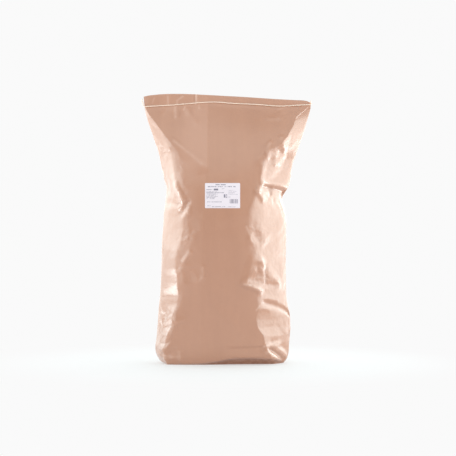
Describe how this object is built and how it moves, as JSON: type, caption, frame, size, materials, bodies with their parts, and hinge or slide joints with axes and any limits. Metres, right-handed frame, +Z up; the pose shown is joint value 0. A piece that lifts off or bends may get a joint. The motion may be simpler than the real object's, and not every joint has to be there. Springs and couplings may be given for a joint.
{
  "type": "filled paper sack of sweetener",
  "caption": "Tall kraft paper sack, filled and standing on its pasted block bottom, mouth pressed flat and sewn shut, with a plain data label on the front.",
  "frame": {"origin": "middle of the flat base, on the surface it stands on", "axes": "+Z up along the sack; the labelled front faces -Y; +X to the right seen from the front"},
  "size_m": [0.506, 0.2408, 0.808],
  "materials": {
    "kraft_paper": "satin machine-glazed brown kraft, creased",
    "label_paper": "smooth white self-adhesive paper with plain printed bars",
    "seam_thread": "matt off-white twisted thread"
  },
  "bodies": {
    "root": {"sack": "kraft_paper", "label": "label_paper", "thread": "seam_thread"}
  },
  "joints": []
}
